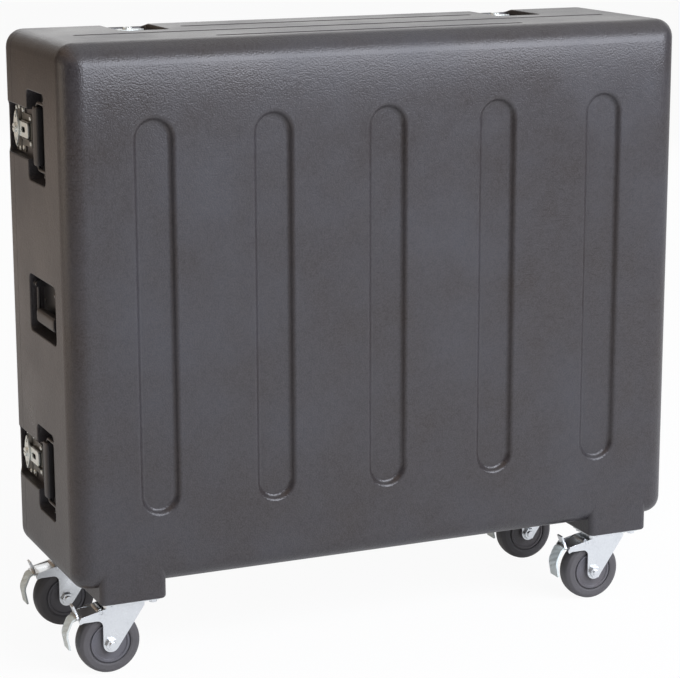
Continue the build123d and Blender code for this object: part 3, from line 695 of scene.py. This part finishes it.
def foam_tub(name, middle, rings):
    """Rounded rectangles (half x, half z, corner, y), joined one to the next and closed at
    both ends."""
    loops = [
        np.insert(rounded_rectangle(half_x, half_z, corner), 1, y, axis=1)
        for half_x, half_z, corner, y in rings
    ]
    points = np.array(loops) + np.array([middle[0], 0, middle[2]])
    return grid_mesh(name, points, wrap_v=True, close_ends=True)


def superellipsoid(name, low, high, end_power, side_power, rows=40, columns=56):
    """A rounded bar that fills a box. Its section is |a|^side_power + |b|^side_power = 1, and
    end_power says how square its ends are."""
    centre = (low + high) / 2
    half = (high - low) / 2
    long_axis = int(np.argmax(half))
    along = np.linspace(-math.pi / 2, math.pi / 2, rows)[:, None]
    around = np.linspace(0, 2 * math.pi, columns, endpoint=False)[None]

    def rounded(value, exponent):
        return np.sign(value) * np.abs(value) ** (2 / exponent)

    ring = rounded(np.cos(along), end_power)
    axes = [
        ring * rounded(np.cos(around), side_power),
        ring * rounded(np.sin(around), side_power),
    ]
    shape = np.zeros((rows, columns, 3))
    shape[..., long_axis] = rounded(np.sin(along), end_power) + 0 * around
    for axis, values in zip([i for i in range(3) if i != long_axis], axes):
        shape[..., axis] = values
    return grid_mesh(name, centre + shape * half, wrap_v=True)


def box_of(node):
    low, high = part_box(node)
    return np.array(low), np.array(high)


def joint_place(name):
    found = next(joint for joint in frame["joints"] if joint["name"] == name)
    return np.array(found["pos_m"])


class MIXERCASE_OT_shells(bpy.types.Operator):
    """Give the base, the lid and the gasket their finish"""

    bl_idname = "mixercase.shells"
    bl_label = "Shells"

    def execute(self, context):
        settings = context.scene.mixer_shell
        crown_drop = 34 * MM
        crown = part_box("base_shell")[1][2] - crown_drop
        plastic = plastic_finish(
            "Moulded case plastic", settings.plastic, settings.plastic_worn,
            settings.roughness, settings.grain, settings.grain_depth, crown=crown,
        )
        gasket = rubber_finish("Gasket rubber", settings.gasket, roughness=0.7)
        paint(frame["nodes"]["base_shell"], plastic)
        paint(frame["nodes"]["lid_shell"], plastic)
        paint(frame["nodes"]["rim_gasket"], gasket)
        return {"FINISHED"}


class MIXERCASE_OT_foam(bpy.types.Operator):
    """Build the foam tray with its wavy floor, and the wavy foam pad in the lid"""

    bl_idname = "mixercase.foam"
    bl_label = "Foam lining"

    def execute(self, context):
        settings = context.scene.mixer_foam
        foam = foam_finish("Charcoal foam", settings.foam)
        corner = 22 * MM
        wall = 44 * MM
        floor = 38 * MM
        soft = 4 * MM
        back_round = 21 * MM
        below_wave = 2 * MM
        bed_overlap = 1 * MM
        smooth = 50
        low, high = box_of("foam_tray")
        half_x, half_z = (high[0] - low[0]) / 2, (high[2] - low[2]) / 2
        middle = (low + high) / 2
        floor_y = low[1] + floor
        deep = floor_y - settings.wave_depth - below_wave
        far = [
            (half_x - back_round * (1 - math.sin(a)),
             half_z - back_round * (1 - math.sin(a)),
             corner - back_round * (1 - math.sin(a)),
             low[1] + back_round * (1 - math.cos(a)))
            for a in np.linspace(0, math.pi / 2, 7)
        ]
        mouth_out = [
            (half_x - soft * (1 - math.cos(a)), half_z - soft * (1 - math.cos(a)), corner,
             high[1] - soft * (1 - math.sin(a)))
            for a in np.linspace(0, math.pi / 2, 5)
        ]
        mouth_in = [
            (half_x - wall + soft * (1 - math.sin(a)), half_z - wall + soft * (1 - math.sin(a)),
             corner, high[1] - soft * (1 - math.cos(a)))
            for a in np.linspace(0, math.pi / 2, 5)
        ]
        inside = [(half_x - wall, half_z - wall, corner, deep)]
        tub = foam_tub("foam_tub", middle, far + mouth_out + mouth_in + inside)
        tray = finished(tub, "foam_tub", foam, "base", smooth)
        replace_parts(tray, "foam_tray")
        inner_low = np.array([middle[0] - half_x + wall, deep, middle[2] - half_z + wall])
        inner_high = np.array([middle[0] + half_x - wall, floor_y, middle[2] + half_z - wall])
        bed_back = deep - bed_overlap
        bed = finished(
            wavy_pad("foam_floor", inner_low, inner_high, floor_y, bed_back, settings, corner),
            "foam_floor", foam, "base", smooth,
        )
        low, high = box_of("foam_lid_pad")
        pad = finished(
            wavy_pad("foam_lid_wave", low, high, low[1], high[1], settings, corner),
            "foam_lid_wave", foam, "lid", smooth,
        )
        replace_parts(pad, "foam_lid_pad")
        return {"FINISHED"}


class MIXERCASE_OT_latches(bpy.types.Operator):
    """Round the edges of the latch parts and give them their zinc finish, with the plates on the
    pocket floors darkened as painted shade of the pocket
    """

    bl_idname = "mixercase.latches"
    bl_label = "Latches"

    def execute(self, context):
        settings = context.scene.mixer_metal
        satin_roughness = settings.zinc_roughness + 0.08
        shaded_plate_roughness = settings.zinc_roughness + 0.15
        bright = zinc_finish("Satin zinc plate", settings.satin, satin_roughness, metallic=0.6)
        # Painted shade: the latch and keeper plates get a darkened copy of the zinc, for the
        # shade of the pocket they sit in
        dull = zinc_finish("Painted-shade zinc plate", settings.dull, shaded_plate_roughness)
        for node in ("latch_plates", "keeper_plates"):
            dressed(node, dull, settings.edge)
        for node in ("latch_rivets", "keeper_rivets"):
            dressed(node, bright, settings.edge)
        for name in LATCHES:
            dressed(f"latch_link_{name}", bright, settings.edge)
            dressed(f"latch_butterfly_{name}", bright, settings.edge)
        return {"FINISHED"}


class MIXERCASE_OT_handles(bpy.types.Operator):
    """Build the moulded grips and finish the steel parts of the handles"""

    bl_idname = "mixercase.handles"
    bl_label = "Handles"

    def execute(self, context):
        metal = context.scene.mixer_metal
        settings = context.scene.mixer_handle
        steel = painted_finish("Black coated steel", metal.black_steel)
        grip = plastic_finish(
            "Moulded grip", settings.grip, rgba(settings.grip, factor=1.8)[:3], roughness=0.4,
            spacing=1.2 * MM, depth=0.1 * MM, rubbed=0.1,
        )
        for node in ("handle_plates", "handle_brackets", "handle_rivets"):
            dressed(node, steel, metal.edge)
        for name in HANDLES:
            dressed(f"handle_bail_{name}", steel, edge=0)
            node = f"handle_grip_{name}"
            low, high = box_of(node)
            label = f"{node}.moulded"
            mesh = superellipsoid(
                label, low, high, end_power=14.0, side_power=settings.squareness
            )
            piece = finished(
                mesh, label, grip, body_of_node(node), smooth_angle=60
            )
            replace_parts(piece, node)
        return {"FINISHED"}


class MIXERCASE_OT_casters(bpy.types.Operator):
    """Build the wheels and brake pedals, and finish the steel parts of the casters"""

    bl_idname = "mixercase.casters"
    bl_label = "Casters"

    def tyre_outline(self, inner, outer, half):
        """Flat sides with a small lip, round shoulders and a slightly crowned tread"""
        lip_depth, lip_width = 1 * MM, 3 * MM
        shoulder_height, shoulder_width = 6.5 * MM, 4.5 * MM
        tread_drop, tread_share = 1.2 * MM, 0.25
        side = [
            (inner, half - lip_depth), (inner + lip_width, half),
            (outer - shoulder_height, half), (outer - tread_drop, half - shoulder_width),
            (outer, tread_share * half),
        ]
        corners = side + [(r, -y) for r, y in side[::-1]]
        radii = [0.3 * MM, 1.2 * MM, 4 * MM, 3 * MM, 12 * MM]
        return rounded_outline(corners, radii + radii[::-1], steps=7)

    def core_outline(self, bore, groove, rim, half, reach):
        """A boss, a shallow dish, a raised ring and the groove beside the tyre"""
        boss, dish_start = 11 * MM, 12 * MM
        dish_inside, dish_outside = half - 2.6 * MM, half - 2.4 * MM
        ring_foot, ring_width = 4.5 * MM, 3 * MM
        ring_face, groove_floor = half - 0.5 * MM, half - 3.5 * MM
        side = [
            (bore, reach), (boss, reach), (dish_start, dish_inside),
            (groove - ring_foot, dish_outside), (groove - ring_width, ring_face),
            (groove, ring_face), (groove, groove_floor), (rim, groove_floor),
        ]
        corners = side + [(r, -y) for r, y in side[::-1]]
        radii = [0.3 * MM, 0.8 * MM, 1.5 * MM, 1.2 * MM, 0.5 * MM, 0.4 * MM, 0.1 * MM, 0]
        return rounded_outline(corners, radii + radii[::-1], steps=5)

    def bush_outline(self, bore, outer, half, rounding):
        """A short tube with its outer edges rounded"""
        corners = [(bore, half), (outer, half), (outer, -half), (bore, -half)]
        return rounded_outline(corners, [0, rounding, rounding, 0], steps=4)

    def execute(self, context):
        metal = context.scene.mixer_metal
        settings = context.scene.mixer_caster
        zinc = zinc_finish("Caster zinc plate", metal.zinc, metal.zinc_roughness)
        rubber = rubber_finish("Wheel rubber", settings.tyre, roughness=0.55)
        core = plastic_finish(
            "Wheel core", settings.core, rgba(settings.core, factor=1.4)[:3], roughness=0.42,
            spacing=1.4 * MM, depth=0.08 * MM, rubbed=0.1,
        )
        pad_finish = plastic_finish(
            "Brake pad", settings.pad, rgba(settings.pad, factor=1.1)[:3], roughness=0.5,
            spacing=1 * MM, depth=0.05 * MM, rubbed=0.1,
        )
        for node in ("caster_plates", "caster_screws"):
            dressed(node, zinc, metal.edge)
        paint(frame["nodes"]["threaded_inserts"], brass_finish("Insert brass", metal.brass))
        for name in CASTERS:
            dressed(f"caster_fork_{name}", zinc, edge=0.7 * MM)
            dressed(f"caster_axle_{name}", zinc, edge=0.6 * MM)
            self.wheel(name, rubber, core)
            self.pedal(name, zinc, pad_finish, settings.pad_ribs)
        return {"FINISHED"}

    def wheel(self, name, rubber, core):
        low, high = box_of(f"caster_tyre_{name}")
        centre = (low + high) / 2
        outer = (high[2] - low[2]) / 2
        half = (high[1] - low[1]) / 2
        bore = 6.05 * MM
        rim = 34 * MM
        groove = rim - 2.4 * MM
        outline = self.tyre_outline(rim, outer, half)
        tyre = lathe(f"tyre_{name}", centre, outline, segments=128)
        piece = finished(tyre, f"tyre_{name}", rubber, f"wheel_{name}")
        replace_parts(piece, f"caster_tyre_{name}")
        low, high = box_of(f"caster_wheel_hub_{name}")
        reach = (high[1] - low[1]) / 2
        hub = lathe(f"hub_{name}", centre, self.core_outline(bore, groove, rim, half, reach))
        piece = finished(hub, f"hub_{name}", core, f"wheel_{name}")
        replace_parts(piece, f"caster_wheel_hub_{name}")

    def pedal(self, name, zinc, pad_finish, rib_count):
        """The pedal is an arm, a ribbed foot pad, a release tang, and an eye and a pin on the
        pivot. The paths are in millimetres from the wheel's axle."""
        pivot_x, pivot_z = -16, 54
        plate = 3 * MM
        arm_half, pad_half, tang_half = 17.4 * MM, 13 * MM, 8 * MM
        pin_radius, pin_half, pin_bore = 3 * MM, 21.4 * MM, 0.01 * MM
        eye_radius = 5.2 * MM
        rib_start, rib_end, rib_slant, rib_depth = 0.28, 0.97, 0.45, 0.9 * MM
        pad_points, pad_columns = 90, 41
        pivot = joint_place(f"pedal_press_{name}")
        axle = pivot - np.array([pivot_x * MM, 0, pivot_z * MM])
        body = f"pedal_{name}"
        node = f"caster_pedal_{name}"
        arm = np.array([(pivot_x, pivot_z), (-44, 49), (-54, 46)]) * MM
        arm = rounded_outline(arm, [0, 8 * MM, 0], steps=8, closed=False)
        pad = np.array([(-52, 46.5), (-60, 44), (-70, 22), (-65, -4)]) * MM
        pad = rounded_outline(pad, [0, 9 * MM, 22 * MM, 0], steps=14, closed=False)
        station = stations(pad)
        even = np.linspace(0, station[-1], pad_points)
        pad = np.stack([np.interp(even, station, pad[:, i]) for i in (0, 1)], axis=1)
        tang = np.array([(-50, 47.5), (-53, 56), (-57, 66)]) * MM
        tang = rounded_outline(tang, [0, 5 * MM, 0], steps=8, closed=False)
        start, end = rib_start * station[-1], rib_end * station[-1]

        def ribs(distance, width):
            slanted = (distance - start + rib_slant * width) / (end - start)
            wave = np.sin(slanted * math.pi * rib_count) ** 2
            inside = (distance > start) & (distance < end) & (slanted > 0) & (slanted < 1)
            return -rib_depth * np.where(inside, wave, 0)

        arm_mesh = strip(f"{body}_arm", axle, arm, arm_half, plate)
        pad_mesh = strip(f"{body}_pad", axle, pad[::-1], pad_half, plate, ribs, pad_columns)
        tang_mesh = strip(f"{body}_tang", axle, tang, tang_half, plate)
        pin = self.bush_outline(pin_bore, pin_radius, pin_half, rounding=0.6 * MM)
        pin_mesh = lathe(f"{body}_pin", pivot, pin, segments=40)
        eye = self.bush_outline(pin_radius, eye_radius, arm_half, rounding=0.5 * MM)
        eye_mesh = lathe(f"{body}_eye", pivot, eye, segments=48)
        for mesh in (arm_mesh, tang_mesh, pin_mesh, eye_mesh):
            finished(mesh, mesh.name, zinc, body)
        foot = finished(
            pad_mesh, pad_mesh.name, pad_finish, body, smooth_angle=50
        )
        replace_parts(foot, node)


class MIXERCASE_OT_stage(bpy.types.Operator):
    """Set up the floor, the lamps and the camera"""

    bl_idname = "mixercase.stage"
    bl_label = "Stage"

    def execute(self, context):
        settings = context.scene.mixer_stage
        self.floor(settings)
        self.world(context, settings)
        aim = (0.0, -0.16, 0.9)
        self.lamp(
            "Key", place=(1.76, -3.5, 3.0), aim=aim, size=(4.2, 2.6), energy=settings.key,
            tint=(0.87, 0.9, 1.0),
        )
        self.lamp(
            "Back", place=(3.2, 4.6, 2.2), aim=aim, size=(7.0, 3.4), energy=settings.back,
            tint=(1.0, 1.0, 1.0),
        )
        self.lamp(
            "Fill", place=(-4.2, 1.0, 1.2), aim=aim, size=(2.5, 2.5), energy=settings.fill,
            tint=(1.0, 0.85, 0.68),
        )
        self.camera(context, settings)
        context.scene.view_settings.view_transform = "Standard"
        return {"FINISHED"}

    def floor(self, settings):
        """A matt floor that glows for the camera, and less for what mirrors it"""
        reach = 40.0
        seen_glow, mirrored_glow = 0.94, 0.32
        points = np.array(
            [[[-reach, -reach, 0], [-reach, reach, 0]], [[reach, -reach, 0], [reach, reach, 0]]]
        )
        mesh = grid_mesh("floor", points)
        material = bpy.data.materials.new("Floor")
        sheet = emptied_sheet(material)
        matt = sheet.add("ShaderNodeBsdfDiffuse")
        matt.inputs["Color"].default_value = rgba(settings.floor)
        glow = sheet.add("ShaderNodeEmission")
        blend = sheet.add("ShaderNodeMixShader")
        path = sheet.add("ShaderNodeLightPath").outputs
        plain = sheet.math("MAXIMUM", path["Is Camera Ray"], path["Is Transmission Ray"])
        place = sheet.parts(sheet.add("ShaderNodeTexCoord").outputs["Object"])
        left = sheet.stretch(place["X"], low=-1.2, high=-0.6, to_low=1.0, to_high=0.0)
        left = sheet.times(left, path["Is Glossy Ray"])
        sheet.join(sheet.mix(left, WHITE, rgba(settings.warm)), glow.inputs["Color"])
        mirrored = sheet.times(path["Is Glossy Ray"], mirrored_glow)
        factor = sheet.math("MAXIMUM", sheet.times(plain, seen_glow), mirrored)
        sheet.join(factor, blend.inputs[0])
        sheet.join(matt.outputs[0], blend.inputs[1])
        sheet.join(glow.outputs[0], blend.inputs[2])
        out = sheet.add("ShaderNodeOutputMaterial")
        sheet.join(blend.outputs[0], out.inputs[0])
        mesh.materials.append(material)
        plane = bpy.data.objects.new("floor", mesh)
        bpy.context.scene.collection.objects.link(plane)

    def world(self, context, settings):
        """White for the camera, a studio for what mirrors it, and even light for the rest"""
        world = bpy.data.worlds.new("Studio")
        sheet = emptied_sheet(world)
        background = sheet.add("ShaderNodeBackground")
        direction = sheet.parts(sheet.add("ShaderNodeTexCoord").outputs["Generated"])
        studio = sheet.stretch(direction["Y"], low=-0.3, high=0.5, to_low=0.16, to_high=0.85)
        ceiling = sheet.stretch(direction["Z"], low=0.5, high=0.85, to_low=1.0, to_high=0.2)
        path = sheet.add("ShaderNodeLightPath").outputs
        plain = sheet.math("MAXIMUM", path["Is Camera Ray"], path["Is Transmission Ray"])
        left = sheet.stretch(direction["X"], low=-0.35, high=0.1, to_low=1.0, to_high=0.0)
        left = sheet.times(left, path["Is Glossy Ray"])
        sheet.join(sheet.mix(left, WHITE, rgba(settings.warm)), background.inputs[0])
        gloss = sheet.times(sheet.times(studio, ceiling), path["Is Glossy Ray"])
        gloss = sheet.times(gloss, sheet.stretch(left, 0.0, 1.0, to_low=1.0, to_high=0.24))
        wing = sheet.stretch(direction["X"], low=0.22, high=0.5, to_low=0.72, to_high=0.34)
        gloss = sheet.times(gloss, wing)
        overhead = sheet.stretch(direction["Z"], low=0.5, high=0.75, to_high=0.9)
        overhead = sheet.times(overhead, path["Is Glossy Ray"])
        gloss = sheet.math("MAXIMUM", gloss, overhead)
        even = sheet.times(path["Is Diffuse Ray"], settings.daylight)
        strength = sheet.math("MAXIMUM", sheet.math("MAXIMUM", plain, gloss), even)
        sheet.join(strength, background.inputs["Strength"])
        out = sheet.add("ShaderNodeOutputWorld")
        sheet.join(background.outputs[0], out.inputs[0])
        context.scene.world = world

    def lamp(self, name, place, aim, size, energy, tint):
        data = bpy.data.lights.new(name, "AREA")
        data.shape = "RECTANGLE"
        data.size, data.size_y = size
        data.energy = energy
        data.color = tint
        lamp = bpy.data.objects.new(name, data)
        lamp.location = place
        direction = Vector(aim) - Vector(place)
        lamp.rotation_euler = direction.to_track_quat("-Z", "Y").to_euler()
        lamp.visible_camera = False
        bpy.context.scene.collection.objects.link(lamp)

    def camera(self, context, settings):
        """The camera's place is a target, a distance and two angles, with a slight roll."""
        target = Vector((-0.07894, -0.1635, 0.5119))
        distance = 3.5777
        azimuth, elevation, roll = (math.radians(a) for a in (-23.617, 12.808, -0.14))
        back = Vector((
            math.sin(azimuth) * math.cos(elevation),
            -math.cos(azimuth) * math.cos(elevation),
            math.sin(elevation),
        ))
        level = Vector((math.cos(azimuth), math.sin(azimuth), 0.0))
        above = back.cross(level)
        right = level * math.cos(roll) + above * math.sin(roll)
        up = back.cross(right)
        data = bpy.data.cameras.new("Camera")
        data.lens = settings.lens
        data.sensor_width = 36.0
        data.clip_end = 200.0
        camera = bpy.data.objects.new("Camera", data)
        turn = Matrix((right, up, back)).transposed().to_4x4()
        camera.matrix_world = Matrix.Translation(target + back * distance) @ turn
        bpy.context.scene.collection.objects.link(camera)
        context.scene.camera = camera


OPERATORS = (
    MIXERCASE_OT_shells,
    MIXERCASE_OT_foam,
    MIXERCASE_OT_latches,
    MIXERCASE_OT_handles,
    MIXERCASE_OT_casters,
    MIXERCASE_OT_stage,
)


class MIXERCASE_PT_panel(bpy.types.Panel):
    """Lists the case's groups of pieces"""

    bl_label = "Mixer case"
    bl_idname = "MIXERCASE_PT_panel"
    bl_space_type = "VIEW_3D"
    bl_region_type = "UI"
    bl_category = "Mixer case"

    def draw(self, context):
        for operator in OPERATORS:
            self.layout.operator(operator.bl_idname)


CLASSES = (*SETTINGS.values(), *OPERATORS, MIXERCASE_PT_panel)


def register():
    for item in CLASSES:
        bpy.utils.register_class(item)
    for name, group in SETTINGS.items():
        setattr(bpy.types.Scene, name, bpy.props.PointerProperty(type=group))


def unregister():
    for name in SETTINGS:
        delattr(bpy.types.Scene, name)
    for item in reversed(CLASSES):
        bpy.utils.unregister_class(item)


def main():
    register()
    bpy.ops.mixercase.shells()
    bpy.ops.mixercase.foam()
    bpy.ops.mixercase.latches()
    bpy.ops.mixercase.handles()
    bpy.ops.mixercase.casters()
    bpy.ops.mixercase.stage()


if __name__ == "__main__":
    main()
